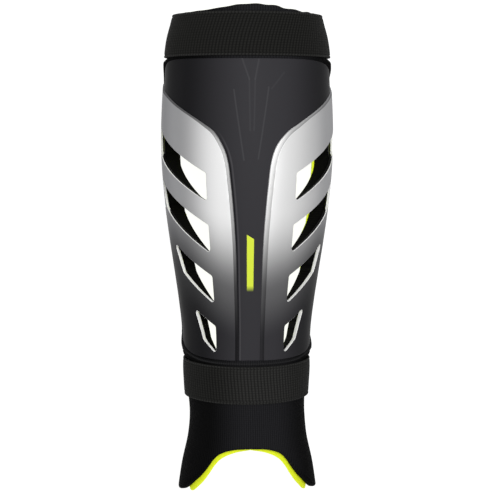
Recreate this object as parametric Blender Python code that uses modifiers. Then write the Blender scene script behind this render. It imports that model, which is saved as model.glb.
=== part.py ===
# Field hockey shin guard: a plastic shell on foam padding with a lining, held by two elastic straps.
# It lies on its open back, shin face up: +X across, +Y towards the knee, +Z out of the shin, floor at Z = 0.
# The layers are cut as flat sheets and then bent round the leg: a flat point (angle, Y, depth) becomes a point of
# the leg's cross-section at Y, that many degrees from the shin line and that deep under the outer surface.
# Metres and degrees.
import math

import bmesh
import bpy
import numpy as np

# Lengths along the leg
ankle_length = 0.1135         # from the tips of the ankle flaps to the bottom of the shell, on the shin line
shell_length = 0.230          # on the shin line
lip_height = 0.0055           # padding that shows above the upper strap
arch_height = 0.0395          # from the tips of the ankle flaps up to the arch over the instep

# Cross-section
calf_width = 0.1356           # over the shell where it is widest
calf_height = 0.0762          # floor to shin line where it is highest
shell_wrap = 98.0             # degrees from the shin line to the shell's side edge
padding_side = 7.0            # degrees of padding past the shell's side edge

# Walls
shell_thickness = 0.003
padding_thickness = 0.0105    # at the calf
ankle_padding_thickness = 0.0075
lining_thickness = 0.0015
strap_thickness = 0.0018
clearance = 0.0004            # between neighbouring pieces

# Shell details
spine_recess = 0.001          # the spine and yoke lie this much lower than the wings
spine_half_angle = 9.3        # degrees from the shin line to the wing's edge, at the bottom
yoke_drop = 0.0155            # from the shell's top on the shin line down to the wing's edge at its side
shell_corner_drop = 0.020     # how far the shell's top corners fall away
shell_corner_rise = 0.015     # how far its bottom corners rise

# Vents
top_vent_drop = 0.0855        # from the shell's top to the top vent's inner corner
vent_height = 0.0215          # along the leg, at the inner end
vent_floor = 0.005            # shell left under the bottom vent
vent_inner_angle = 31.0       # degrees from the shin line to the inner end
vent_rear_wall = 6.0          # degrees of shell behind the top vent's tip
vent_slope = 0.0006           # metres up the leg for each degree outwards
vent_corner = 0.003           # cut off along both sides of each corner

# Straps and edges
upper_strap_width = 0.033
upper_strap_gap = 0.002       # above the shell
lower_strap_width = 0.030
lower_strap_gap = 0.005       # below the shell
lining_show = 0.003           # the lining reaches this much past the padding at the arch
lip_drop = 0.0055             # how far the padding's top edge falls towards its sides
lip_turn = 30.0               # degrees from the shin line by which most of that fall is done

# Mesh
facet_angle = 7.0             # degrees between the lines along the leg, the same for every layer
shell_rows = 20
padding_rows = 23
strap_rows = 3
strap_back_columns = 8

# What follows from them
padding_wrap = shell_wrap + padding_side
vent_outer_angle = shell_wrap - vent_rear_wall
shell_bottom = ankle_length
shell_top = shell_bottom + shell_length
upper_strap_bottom = shell_top + upper_strap_gap
upper_strap_top = upper_strap_bottom + upper_strap_width
lower_strap_top = shell_bottom - lower_strap_gap
lower_strap_bottom = lower_strap_top - lower_strap_width
overall_length = upper_strap_top + lip_height
half_length = overall_length / 2
edge_height = strap_thickness + clearance
padding_depth = shell_thickness + clearance
flat_radius = calf_width / 2

# The outer surface's cross-sections. Share: of the overall length, from the ankle end. Width and height: shares
# of the calf's.
sections = np.array([
    # share, width, height
    (0.000, 0.880, 0.845),
    (0.060, 0.828, 0.826),
    (0.120, 0.755, 0.800),
    (0.165, 0.733, 0.789),
    (0.220, 0.746, 0.793),
    (0.260, 0.757, 0.806),
    (0.300, 0.752, 0.826),
    (0.340, 0.755, 0.848),
    (0.400, 0.791, 0.883),
    (0.460, 0.840, 0.917),
    (0.530, 0.900, 0.954),
    (0.600, 0.952, 0.983),
    (0.670, 0.988, 0.998),
    (0.740, 1.000, 1.000),
    (0.800, 0.990, 0.994),
    (0.860, 0.971, 0.981),
    (0.900, 0.966, 0.967),
    (0.940, 0.935, 0.947),
    (0.970, 0.889, 0.929),
    (1.000, 0.850, 0.907),
])

# The padding's edge over the ankle, from the shin line out. Turn: share of the padding's wrap. Rise: share of
# the arch height above the flap tips.
ankle_edge = np.array([
    # turn, rise
    (0.00, 1.00),
    (0.16, 0.97),
    (0.26, 0.90),
    (0.32, 0.82),
    (0.37, 0.70),
    (0.42, 0.54),
    (0.48, 0.38),
    (0.58, 0.21),
    (0.69, 0.09),
    (0.80, 0.02),
    (0.88, 0.00),
    (1.00, 0.45),
])

# The wing's edge along the yoke and the spine. Turn: share of the way from the spine's half angle to the
# shell's side edge. Drop: share of the length from the edge's upper end to the shell's bottom.
wing_edge = np.array([
    # turn, drop
    (1.000, 0.00),
    (0.880, 0.03),
    (0.700, 0.057),
    (0.550, 0.087),
    (0.256, 0.155),
    (0.171, 0.180),
    (0.115, 0.210),
    (0.072, 0.247),
    (0.047, 0.290),
    (0.033, 0.345),
    (0.021, 0.410),
    (0.010, 0.490),
    (0.002, 0.580),
    (0.000, 0.730),
])

# The vents from the top one down. Outer: share of the way from the inner end to the top vent's tip. Heel:
# degrees by which the outer end's lower corner stands back from its tip. Flare: the outer end's height as a
# share of the inner end's.
vents = [
    # outer, heel, flare
    (1.00, 2.0, 0.98),
    (0.93, 8.0, 0.94),
    (0.64, 8.0, 0.94),
    (0.35, 8.0, 1.00),
]
vent_pitch = (shell_length - top_vent_drop - vent_height - vent_floor) / (len(vents) - 1)


def smooth(at, places, values):
    # Cubic through the table's rows, with the slopes of the rows on both sides.
    slopes = np.gradient(values, places)
    row = np.clip(np.searchsorted(places, at, side="right") - 1, 0, len(places) - 2)
    step = places[row + 1] - places[row]
    t = (at - places[row]) / step
    rise = values[row] * (2 * t**3 - 3 * t**2 + 1) + values[row + 1] * (3 * t**2 - 2 * t**3)
    return rise + step * (slopes[row] * (t**3 - 2 * t**2 + t) + slopes[row + 1] * (t**3 - t**2))


def bend(angle, along, depth):
    # A point under the outer surface: an ellipse through the shin line whose ends stand at the edge height.
    share = along / overall_length
    width = calf_width / 2 * smooth(share, sections[:, 0], sections[:, 1])
    height = calf_height * smooth(share, sections[:, 0], sections[:, 2])
    tall = (height - edge_height) / (1 - math.cos(math.radians(padding_wrap)))
    sine, cosine = np.sin(np.radians(angle)), np.cos(np.radians(angle))
    steep = np.hypot(sine / width, cosine / tall)
    x = width * sine - depth * sine / width / steep
    z = height - tall + tall * cosine - depth * cosine / tall / steep
    return np.stack([x, along - half_length, z], axis=-1)


def padding_wall(along):
    # The padding thins from the calf to the ankle, between the lower strap and the middle of the shell.
    thin = np.clip((shell_bottom + shell_length / 2 - along) / (shell_length / 2), 0, 1)
    thin = thin * thin * (3 - 2 * thin)
    return padding_thickness + (ankle_padding_thickness - padding_thickness) * thin


def shell_top_edge(angle):
    return shell_top - shell_corner_drop * (np.abs(angle) / shell_wrap) ** 3.5


def shell_bottom_edge(angle):
    return shell_bottom + shell_corner_rise * (np.abs(angle) / shell_wrap) ** 4


def padding_top_edge(angle):
    return overall_length - lip_drop * (1 - np.exp(-((angle / lip_turn) ** 2)))


def padding_bottom_edge(angle):
    rise = smooth(np.abs(angle) / padding_wrap, ankle_edge[:, 0], ankle_edge[:, 1])
    return lining_show + arch_height * np.maximum(rise, 0)


def lining_bottom_edge(angle):
    # Shows most on the arch's slopes, halfway round, and reaches the flap tips.
    slope = np.sin(np.pi * np.abs(angle) / padding_wrap)
    return np.maximum(padding_bottom_edge(angle) - lining_show * (0.7 + slope), 0)


def column_angles(wrap):
    # The shared lines that this piece reaches, and its own two edges.
    whole = np.arange(1, math.ceil(wrap / facet_angle - 0.3)) * facet_angle
    side = np.append(whole, wrap)
    return np.concatenate([-side[::-1], [0.0], side])


def new_object(name, mesh, collection):
    piece = bpy.data.objects.new(name, mesh)
    collection.objects.link(piece)
    return piece


def flat_sheet(name, wrap, bottom_edge, top_edge, rows, thickness):
    # A grid between two edges, with its face on top and its thickness below.
    angles = column_angles(wrap)
    bpy.ops.mesh.primitive_grid_add(x_subdivisions=len(angles) - 1, y_subdivisions=rows, size=2)
    piece = bpy.context.object
    piece.name = piece.data.name = name
    points = np.zeros(len(piece.data.vertices) * 3)
    piece.data.vertices.foreach_get("co", points)
    across, up, _ = points.reshape(-1, 3).T
    angle = angles[np.rint((across + 1) / 2 * (len(angles) - 1)).astype(int)]
    low, high = bottom_edge(angle), top_edge(angle)
    flat = np.stack([np.radians(angle) * flat_radius, low + (high - low) * (up + 1) / 2, 0 * angle], axis=-1)
    piece.data.vertices.foreach_set("co", flat.ravel())
    solidify = piece.modifiers.new("thickness", "SOLIDIFY")
    solidify.thickness = thickness
    solidify.offset = -1
    return piece


def prism(name, outline, low, high):
    # A cutter: a flat outline of (angle, along) points, standing from one height to the other.
    curve = bpy.data.curves.new(name, "CURVE")
    curve.dimensions = "2D"
    curve.fill_mode = "BOTH"
    curve.extrude = (high - low) / 2
    spline = curve.splines.new("POLY")
    spline.points.add(len(outline) - 1)
    for point, (angle, along) in zip(spline.points, outline):
        point.co = (math.radians(angle) * flat_radius, along, 0, 1)
    spline.use_cyclic_u = True
    drawn = new_object(name, curve, cutters)
    drawn.location.z = (high + low) / 2
    bpy.context.view_layer.update()
    mesh = bpy.data.meshes.new_from_object(drawn.evaluated_get(bpy.context.evaluated_depsgraph_get()))
    place = drawn.matrix_world.copy()
    bpy.data.objects.remove(drawn)
    weld(mesh)
    cutter = new_object(name, mesh, cutters)
    cutter.matrix_world = place
    return as_cutter(cutter)


def as_cutter(piece):
    move_to(piece, cutters)
    piece.hide_render = True
    piece.display_type = "WIRE"
    return piece


def move_to(piece, collection):
    for holder in list(piece.users_collection):
        holder.objects.unlink(piece)
    collection.objects.link(piece)


def weld(mesh):
    work = bmesh.new()
    work.from_mesh(mesh)
    bmesh.ops.remove_doubles(work, verts=work.verts, dist=0.00001)
    bmesh.ops.recalc_face_normals(work, faces=work.faces)
    work.to_mesh(mesh)
    work.free()


def combine(piece, other, operation="DIFFERENCE"):
    boolean = piece.modifiers.new(other.name, "BOOLEAN")
    boolean.object = other
    boolean.operation = operation
    boolean.solver = "EXACT"


def wrap_round_leg(piece, depth, wall, flat_wall):
    # Applies the cuts, then bends the flat piece: its top to the given depth, its bottom one wall deeper.
    bpy.context.view_layer.update()
    mesh = bpy.data.meshes.new_from_object(piece.evaluated_get(bpy.context.evaluated_depsgraph_get()))
    piece.modifiers.clear()
    piece.data = mesh
    mesh.name = piece.name
    points = np.zeros(len(mesh.vertices) * 3)
    mesh.vertices.foreach_get("co", points)
    x, along, z = points.reshape(-1, 3).T
    bent = bend(np.degrees(x / flat_radius), along, depth(along) - z / flat_wall * wall(along))
    mesh.vertices.foreach_set("co", bent.ravel())
    mesh.update()


def rounded(corners):
    # Cuts each corner of an outline of (angle, along) points, a little along both of its sides.
    points = np.array(corners, dtype=float)
    scale = np.array([math.radians(1) * flat_radius, 1.0])
    outline = []
    for here, before, after in zip(points, np.roll(points, 1, axis=0), np.roll(points, -1, axis=0)):
        for other in (before, after):
            length = np.linalg.norm((other - here) * scale)
            outline.append(here + (other - here) * min(vent_corner / length, 0.4))
    return outline


def vent_outline(number, side):
    outer, heel, flare = vents[number]
    inner_top = shell_top - top_vent_drop - number * vent_pitch
    tip = vent_inner_angle + outer * (vent_outer_angle - vent_inner_angle)
    tip_top = inner_top + vent_slope * (tip - vent_inner_angle)
    return rounded([
        (side * vent_inner_angle, inner_top),
        (side * vent_inner_angle, inner_top - vent_height),
        (side * (tip - heel), tip_top - vent_slope * heel / 2 - vent_height * flare),
        (side * tip, tip_top),
    ])


def spine_outline():
    # Up the right wing's edge and past the shell's side, above its top, and down the left wing's edge.
    side = shell_top - yoke_drop
    turn, drop = wing_edge[::-1].T
    angle = spine_half_angle + turn * (shell_wrap - spine_half_angle)
    right = list(zip(angle, side - drop * (side - shell_bottom)))
    right.insert(0, (angle[0], shell_bottom - yoke_drop))
    right.append((shell_wrap + padding_side, side))
    right.append((shell_wrap + padding_side, shell_top + yoke_drop))
    return right + [(-angle, along) for angle, along in right[::-1]]


def spine_cutter():
    # A block with the shell's own lines across its floor, so that the floor bends as the shell does, trimmed
    # to the outline of the spine and yoke.
    block = flat_sheet(
        "spine_cutter", shell_wrap + 2 * padding_side,
        lambda angle: shell_bottom - 2 * yoke_drop + 0 * angle,
        lambda angle: shell_top + 2 * yoke_drop + 0 * angle,
        shell_rows // 2, spine_recess + shell_thickness,
    )
    block.location.z = shell_thickness
    outline = prism("spine_outline", spine_outline(), -shell_thickness, 2 * shell_thickness)
    combine(block, outline, "INTERSECT")
    return as_cutter(block)


def strap_section(along, depth, back):
    # One closed ring: over the padding's outer side, straight on down to the height of back, and across.
    angles = column_angles(padding_wrap)
    front = bend(angles, np.full(len(angles), along), depth)
    left, right = (
        end + (end - before) * (end[2] - back) / (before[2] - end[2])
        for end, before in ((front[0], front[1]), (front[-1], front[-2]))
    )
    shares = np.linspace(0, 1, strap_back_columns + 1)[:, None]
    return np.concatenate([front, right + (left - right) * shares])


def strap(name, low, high):
    # A band of rings: the outer skin from its lower edge to its upper one, and the inner skin back down.
    inner_depth = padding_depth - clearance
    outer_depth = inner_depth - strap_thickness
    places = np.linspace(low, high, strap_rows + 1)
    outer = [strap_section(along, outer_depth, 0.0) for along in places]
    inner = [strap_section(along, inner_depth, strap_thickness) for along in places[::-1]]
    work = bmesh.new()
    rings = [[work.verts.new(point) for point in ring] for ring in outer + inner]
    for ring, above in zip(rings, rings[1:] + rings[:1]):
        for here, beside, over, before in zip(ring, ring[1:] + ring[:1], above[1:] + above[:1], above):
            work.faces.new((here, beside, over, before))
    bmesh.ops.recalc_face_normals(work, faces=work.faces)
    mesh = bpy.data.meshes.new(name)
    work.to_mesh(mesh)
    work.free()
    return new_object(name, mesh, guard)


def layer(name, wrap, bottom_edge, top_edge, rows, depth, wall, cuts):
    flat_wall = float(wall(np.array([shell_top]))[0])
    piece = flat_sheet(name, wrap, bottom_edge, top_edge, rows, flat_wall)
    for cutter in cuts:
        combine(piece, cutter)
    wrap_round_leg(piece, depth, wall, flat_wall)
    move_to(piece, guard)
    return piece


def finish(piece, colour, roughness):
    material = bpy.data.materials.new(piece.name)
    material.use_nodes = True
    shader = material.node_tree.nodes["Principled BSDF"]
    shader.inputs["Base Color"].default_value = (*colour, 1)
    shader.inputs["Roughness"].default_value = roughness
    shader.inputs["Metallic"].default_value = 0
    piece.data.materials.clear()
    piece.data.materials.append(material)
    piece.data.shade_smooth()
    piece.data.set_sharp_from_angle(angle=math.radians(30))


for old in list(bpy.data.objects):
    bpy.data.objects.remove(old)
guard = bpy.data.collections.new("field_hockey_shin_guard")
cutters = bpy.data.collections.new("cutters")
bpy.context.scene.collection.children.link(guard)
bpy.context.scene.collection.children.link(cutters)

vent_cutters = [
    prism(f"vent_{number}_{end}", vent_outline(number, side), -2 * padding_thickness, padding_thickness)
    for number in range(len(vents))
    for end, side in (("left", -1), ("right", 1))
]

shell = layer(
    "shell", shell_wrap, shell_bottom_edge, shell_top_edge, shell_rows,
    lambda along: 0 * along,
    lambda along: shell_thickness + 0 * along,
    [spine_cutter(), *vent_cutters],
)
padding = layer(
    "padding", padding_wrap, padding_bottom_edge, padding_top_edge, padding_rows,
    lambda along: padding_depth + 0 * along,
    padding_wall,
    vent_cutters,
)
lining = layer(
    "lining", padding_wrap, lining_bottom_edge, padding_top_edge, padding_rows,
    lambda along: padding_depth + padding_wall(along) + clearance,
    lambda along: lining_thickness + 0 * along,
    vent_cutters,
)
upper_strap = strap("upper_strap", upper_strap_bottom, upper_strap_top)
lower_strap = strap("lower_strap", lower_strap_bottom, lower_strap_top)

finish(shell, (0.30, 0.30, 0.31), 0.4)
finish(padding, (0.012, 0.012, 0.012), 0.9)
finish(lining, (0.75, 0.95, 0.02), 0.8)
finish(upper_strap, (0.018, 0.018, 0.017), 0.85)
finish(lower_strap, (0.018, 0.018, 0.017), 0.85)
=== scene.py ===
import math

import bpy
import numpy as np
from mathutils import Matrix, Vector


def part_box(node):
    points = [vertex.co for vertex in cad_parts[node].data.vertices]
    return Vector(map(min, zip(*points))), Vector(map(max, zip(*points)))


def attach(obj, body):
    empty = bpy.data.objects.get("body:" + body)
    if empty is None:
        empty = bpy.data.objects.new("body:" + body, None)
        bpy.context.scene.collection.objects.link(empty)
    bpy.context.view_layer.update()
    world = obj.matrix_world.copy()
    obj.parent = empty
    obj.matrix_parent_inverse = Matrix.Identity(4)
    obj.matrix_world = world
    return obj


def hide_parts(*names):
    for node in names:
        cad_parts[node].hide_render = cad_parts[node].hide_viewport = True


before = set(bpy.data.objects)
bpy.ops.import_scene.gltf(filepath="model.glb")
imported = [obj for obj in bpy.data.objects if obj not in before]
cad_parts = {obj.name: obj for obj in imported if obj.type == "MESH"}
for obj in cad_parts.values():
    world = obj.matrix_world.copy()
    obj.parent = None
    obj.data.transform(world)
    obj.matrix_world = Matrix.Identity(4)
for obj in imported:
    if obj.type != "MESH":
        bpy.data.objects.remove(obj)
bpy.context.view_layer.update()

shellLow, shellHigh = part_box("shell")
liningLow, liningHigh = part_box("lining")
upperLow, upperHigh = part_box("upper_strap")
lowerLow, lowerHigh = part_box("lower_strap")

leg = {
    "width": shellHigh.x - shellLow.x,  # over the shell where it is widest
    "length": liningHigh.y - liningLow.y,
    "edgeHeight": 0.0022,  # the padding's side edges above the floor
    "wrap": 105.0,  # degrees from the shin line to the padding's side edge
    "sway": 0.0008,  # of the ankle section to the right
    "swayTop": (0.055, 0.085),  # metres up from the flap tips between which it ends
}
shell = {
    "thickness": 0.003,
    "wrap": 98.0,
    "recess": 0.0013,  # the spine and yoke under the wings
    "spineAngle": 9.8,  # degrees from the shin line to the wing's edge, at the bottom
    # Its top corners fall by the drop times the share of its wrap to a power, on the left and on the right
    "cornerDrop": 0.020, "cornerPowers": (9.0, 4.5), "cornerRise": 0.015, "cornerRound": 0.006,
    "yokeDrop": 0.0155,  # from its top to the wing's edge at its sides
    "lip": 0.0007,  # rounding of its cut edges
    "stepWidth": 0.0004, "stepShare": 0.45,  # the steep foot of the wing's edge, and its share of the recess
    "bevelLeft": 0.0021, "bevelRight": 0.0037,  # widths of the sloping band between that step and the wing
    "bevelFade": (0.7, 15, 45),  # the share lost out along the yoke, between these degrees
    "lean": 1.5,  # degrees by which the spine's edges stand to the left
    "leanTop": (0.085, 0.105),  # metres above the middle between which that ends
    "sharpAngle": 24,  # edges sharper than this many degrees aren't shaded smooth
    "cell": 0.0013,
}
vent = {
    "drop": 0.0855,  # from the shell's top to the top vent's inner corner
    "height": 0.0215, "floor": 0.005, "innerAngle": 31.0, "outerAngle": 92.0,
    "slope": 0.0006,  # metres up the leg for each degree outwards
    "round": 0.0019,
    "upperOnes": 0.083,  # the two upper ones begin this far above the shell's bottom
    "wall": 0.003,  # the faces this near a vent are its walls
    "flangeEnd": (0.0008, 0.0045),  # metres from an outer end between which its flange ends
    "whiteEnd": (0.0010, 0.0080),  # and between which an upper vent's wall turns from white to dark
}
padding = {
    "depth": 0.0034, "calfWall": 0.0105, "ankleWall": 0.0075,
    "arch": 0.0395,  # the ankle's arch above the flap tips
    "liningShow": 0.003, "tipShow": 0.001,  # how far the lining shows past it at the arch and the tips
    "showTurn": (0.5, 0.75),  # shares of the wrap between which the one passes into the other
    "lipDrop": 0.0048, "lipTurn": 32.0, "lipMiddle": 2.0,
    # The gathered lip: how far it stands out, its folds, and its waves on the left and more on the right
    "lipStand": 0.0012, "fold": 0.0005, "waves": (0.0001, 0.0003), "wavesTurn": (0, 25),
    "lipRise": (-0.0005, 0.002),
    "edgeRound": 0.0030, "ventRound": 0.0008, "cornerRound": 0.004,
    "welt": 0.0016, "weltPlace": 0.0030, "weltWidth": 0.0009,
    # The puffs where shell and straps leave it free, and more at the sides, between these degrees
    "puff": 0.0008, "sidePuff": 0.0026, "sideTurn": (62, 80), "puffStart": (0.0006, 0.0035),
    "strapClear": (-0.0005, 0.004),
    "ventDrop": 0.0072,  # its vents' inner bottom corners lie this much lower than the shell's
    "ventReach": 0.0025,  # and their outer ends this much further out
    "cell": 0.0018,
}
lining = {
    "thickness": 0.0015, "gap": 0.0004, "edgeRound": 0.0007, "cell": 0.0018,
    "wrap": 93.0,  # the foam's inner face is bare beyond it
    "ventThickness": 0.0008,  # pressed thin round the vents
    "ventBack": 0.0025,  # and cut back this far from the foam's edge there
    "moreBack": 0.0105,  # and this much further on the left and in the lower vents
    "backEnd": (-0.005, 0.005),  # metres about the foot of the upper vents between which that ends
    "archShow": 0.7,  # the least share of its show that shows, in the middle of the arch
    "tipBack": 0.0055, "tipTurn": (0.60, 0.85),  # shorter at the flap tips, between these shares of the wrap
}
strap = {
    "thickness": 0.0018, "innerDepth": 0.0030, "edgeRound": 0.0006, "soften": 0.0030, "cell": 0.0012,
    "standOff": 0.0009, "standTurn": (55, 85),  # from the padding, growing between these degrees
    "points": 360, "bendPoints": 121,  # round the ring, and of its bend before they are evenly spaced
}

leg["height"] = shellHigh.z + 0.001
flatRadius = leg["width"] / 2
# How far up from the ankle flaps' tips each layer ends
half = leg["length"] / 2
shellBottom, shellTop = shellLow.y + half, shellHigh.y + half
upperStrapLow, upperStrapHigh = upperLow.y + half, upperHigh.y + half
lowerStrapLow, lowerStrapHigh = lowerLow.y + half, lowerHigh.y + half

# Cross-sections up the leg. Share: of the length, from the ankle. Width and height: shares of the calf's.
sections = np.array([
    (0.000, 0.880, 0.845), (0.060, 0.828, 0.826), (0.120, 0.755, 0.800), (0.165, 0.733, 0.789),
    (0.220, 0.746, 0.793), (0.260, 0.757, 0.806), (0.300, 0.752, 0.826), (0.340, 0.755, 0.848),
    (0.400, 0.791, 0.883), (0.460, 0.840, 0.917), (0.530, 0.900, 0.954), (0.600, 0.952, 0.983),
    (0.670, 0.988, 0.998), (0.740, 1.000, 1.000), (0.800, 0.990, 0.994), (0.860, 0.971, 0.981),
    (0.900, 0.966, 0.967), (0.940, 0.935, 0.947), (0.970, 0.889, 0.929), (1.000, 0.850, 0.907),
])
# The padding's edge over the ankle. Turn: share of its wrap. Rise: share of the arch above the flap tips.
ankleEdge = np.array([
    (0.00, 1.00), (0.16, 0.97), (0.26, 0.90), (0.32, 0.82), (0.37, 0.70), (0.42, 0.54),
    (0.48, 0.38), (0.58, 0.21), (0.69, 0.09), (0.80, 0.02), (0.88, 0.00), (1.00, 0.45),
])
# The wing's edge along the yoke and the spine. Turn: share of the way from the spine to the shell's side.
# Drop: share of the way from the edge's upper end to the shell's bottom.
wingEdge = np.array([
    (1.000, 0.00), (0.880, 0.03), (0.700, 0.057), (0.550, 0.087), (0.256, 0.155), (0.171, 0.180),
    (0.115, 0.210), (0.072, 0.247), (0.047, 0.290), (0.033, 0.345), (0.021, 0.410), (0.010, 0.490),
    (0.002, 0.580), (0.000, 0.730), (0.000, 1.000),
])
# The vents from the top one down. Outer: share of the way out to the top one's tip. Heel: degrees by which
# the outer end's lower corner stands back from its tip. Flare: the outer end's height as a share of the
# inner end's. Flange: how much deeper the shell's wall is at the outer end.
vents = [
    # outer, heel, flare, flange
    (1.00, 2.0, 0.98, -0.0008),
    (0.93, 8.0, 0.94, -0.0005),
    (0.64, 8.0, 0.94, -0.0003),
    (0.35, 8.0, 1.00, 0.0004),
]


def columns(*values):
    return np.stack(values, axis=-1)


def toArc(angle):
    # r a, with a in radians
    return np.radians(angle) * flatRadius


def toAngle(arc):
    return np.degrees(arc / flatRadius)


def smooth(at, places, values):
    # v0 (2t^3 - 3t^2 + 1) + v1 (3t^2 - 2t^3) + h (m0 (t^3 - 2t^2 + t) + m1 (t^3 - t^2)), m the slopes
    slopes = np.gradient(values, places)
    row = np.clip(np.searchsorted(places, at, side="right") - 1, 0, len(places) - 2)
    step = places[row + 1] - places[row]
    t = (at - places[row]) / step
    rise = values[row] * (2 * t**3 - 3 * t**2 + 1) + values[row + 1] * (3 * t**2 - 2 * t**3)
    return rise + step * (slopes[row] * (t**3 - 2 * t**2 + t) + slopes[row + 1] * (t**3 - t**2))


def ramp(value, low, high):
    # 3t^2 - 2t^3 with t = (value - low) / (high - low), held between 0 and 1
    t = np.clip((value - low) / (high - low), 0, 1)
    return t * t * (3 - 2 * t)


def twoRamps(value, share, lowA, highA, lowB, highB):
    # s ramp(value, lowA, highA) + (1 - s) ramp(value, lowB, highB)
    return share * ramp(value, lowA, highA) + (1 - share) * ramp(value, lowB, highB)


def bump(value, middle, width):
    # exp(-((value - middle) / width)^2)
    return np.exp(-((value - middle) / width) ** 2)


def bend(arc, along, depth):
    # x = w sin a - d sin a / (w s) + sway, z = h - t + t cos a - d cos a / (t s), with w half the width,
    # h the height, t half the ellipse's height there and s = |(sin a / w, cos a / t)|
    share = np.clip(along / leg["length"], 0, 1)
    width = leg["width"] / 2 * smooth(share, sections[:, 0], sections[:, 1])
    height = leg["height"] * smooth(share, sections[:, 0], sections[:, 2])
    tall = (height - leg["edgeHeight"]) / (1 - math.cos(math.radians(leg["wrap"])))
    sine, cosine = np.sin(arc / flatRadius), np.cos(arc / flatRadius)
    steep = np.hypot(sine / width, cosine / tall)
    sway = leg["sway"] * (1 - ramp(along, *leg["swayTop"]))
    x = width * sine - depth * sine / width / steep + sway
    z = height - tall + tall * cosine - depth * cosine / tall / steep
    return columns(x, along - half, z)


def segmentGap(point, start, end):
    # Distance to the line from start to end: |p - a - (b - a) t|, t held between 0 and 1
    side = end - start
    offset = point - start
    t = np.clip(offset @ side / (side @ side), 0, 1)
    return np.linalg.norm(offset - t[..., None] * side, axis=-1)


def gap(arc, along, edge, side):
    # Distance to the line along = edge(arc), positive on the given side: side (along - e) / sqrt(1 + e'^2)
    step = 0.0004
    slope = (edge(arc + step) - edge(arc - step)) / (2 * step)
    return side * (along - edge(arc)) / np.hypot(1, slope)


def corner(first, second, radius):
    # Distance inside two edges with a round corner: r - |(r - a, r - b)| where both are nearer than r
    rounded = radius - np.hypot(radius - first, radius - second)
    return np.where((first < radius) & (second < radius), rounded, np.minimum(first, second))


def shellTopEdge(arc):
    # top - drop (|a| / wrap)^power
    power = np.where(arc < 0, *shell["cornerPowers"])
    return shellTop - shell["cornerDrop"] * (np.abs(toAngle(arc)) / shell["wrap"]) ** power


def shellBottomEdge(arc):
    # bottom + rise (|a| / wrap)^4
    return shellBottom + shell["cornerRise"] * (np.abs(toAngle(arc)) / shell["wrap"]) ** 4


def outlineGap(arc, along, wrap, topEdge, bottomEdge, topRound, bottomRound):
    # Distance inside a layer's outer edge: the lesser of those at its top and its bottom
    side = toArc(wrap) - np.abs(arc)
    top, bottom = gap(arc, along, topEdge, -1), gap(arc, along, bottomEdge, 1)
    return np.minimum(corner(top, side, topRound), corner(bottom, side, bottomRound))


def shellOutline(arc, along):
    radius = shell["cornerRound"]
    return outlineGap(arc, along, shell["wrap"], shellTopEdge, shellBottomEdge, radius, radius / 2)


def ventCorners(number):
    # The four corners of a vent on the right side, (arc, along), from the inner top one and counterclockwise
    outer, heel, flare, flange = vents[number]
    pitch = (shellTop - shellBottom - vent["drop"] - vent["height"] - vent["floor"]) / (len(vents) - 1)
    innerTop = shellTop - vent["drop"] - number * pitch
    tip = vent["innerAngle"] + outer * (vent["outerAngle"] - vent["innerAngle"])
    tipTop = innerTop + vent["slope"] * (tip - vent["innerAngle"])
    return np.array([
        (toArc(vent["innerAngle"]), innerTop),
        (toArc(vent["innerAngle"]), innerTop - vent["height"]),
        (toArc(tip - heel), tipTop - vent["slope"] * heel / 2 - vent["height"] * flare),
        (toArc(tip), tipTop),
    ])


def foamCorners(number):
    # The vent in the foam, wider than the shell's at its inner bottom corner and its outer end
    corners = ventCorners(number)
    corners[1, 1] -= padding["ventDrop"]
    corners[2:, 0] += padding["ventReach"]
    return corners


def ventGap(arc, along, radius, outline=ventCorners):
    # Distance outside the nearest vent, its corners rounded: that to its sides moved in by r, less r
    nearest = np.full(np.shape(arc), 1.0)
    point = columns(np.abs(arc), along)
    for number in range(len(vents)):
        corners = outline(number)
        sides = np.roll(corners, -1, axis=0) - corners
        outward = columns(sides[:, 1], -sides[:, 0]) / np.linalg.norm(sides, axis=1)[:, None]
        inset = insetCorners(corners, outward, radius)
        nearest = np.minimum(nearest, polygonGap(point, inset) - radius)
    return nearest


def outerEnds(arc, along):
    # The distance to each vent's outer end, one row a vent
    point = columns(np.abs(arc), along)
    return np.array([segmentGap(point, *ventCorners(number)[2:]) for number in range(len(vents))])


def flangeDepth(arc, along):
    # The extra depth of the shell's wall at the vents' outer ends: the sum of f (1 - ramp of the distance)
    flanges = np.array([flange for outer, heel, flare, flange in vents])
    return flanges @ (1 - ramp(outerEnds(arc, along), *vent["flangeEnd"]))


def insetCorners(corners, outward, distance):
    # Where the sides meet once each has moved in by the distance: n1.p = n1.c - d and n2.p = n2.c - d
    before = np.roll(outward, 1, axis=0)
    both = np.stack([before, outward], axis=1)
    reach = (both * corners[:, None]).sum(axis=2) - distance
    return np.linalg.solve(both, reach[..., None])[..., 0]


def polygonGap(point, corners):
    # Distance to a polygon: the least over its sides, negative where it lies left of them all
    least = np.full(point.shape[:-1], 1.0)
    inside = np.full(point.shape[:-1], True)
    for start, end in zip(corners, np.roll(corners, -1, axis=0)):
        side, offset = end - start, point - start
        least = np.minimum(least, segmentGap(point, start, end))
        inside &= side[0] * offset[..., 1] - side[1] * offset[..., 0] > 0
    return np.where(inside, -least, least)


def wingCurve():
    # The wing's edge on the right side as (arc, along), smooth through its rows by chord length
    side = shellTop - shell["yokeDrop"]
    turn, drop = wingEdge.T
    arc = toArc(shell["spineAngle"] + turn * (shell["wrap"] - shell["spineAngle"]))
    along = side - drop * (side - shellBottom)
    chord = np.append(0, np.cumsum(np.hypot(np.diff(arc), np.diff(along))))
    at = np.linspace(0, chord[-1], 140)
    curve = columns(smooth(at, chord, arc), smooth(at, chord, along))
    return np.concatenate([[[curve[0, 0] + 0.02, curve[0, 1] + 0.004]], curve, [[curve[-1, 0], 0.0]]])


wingLine = wingCurve()


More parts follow.
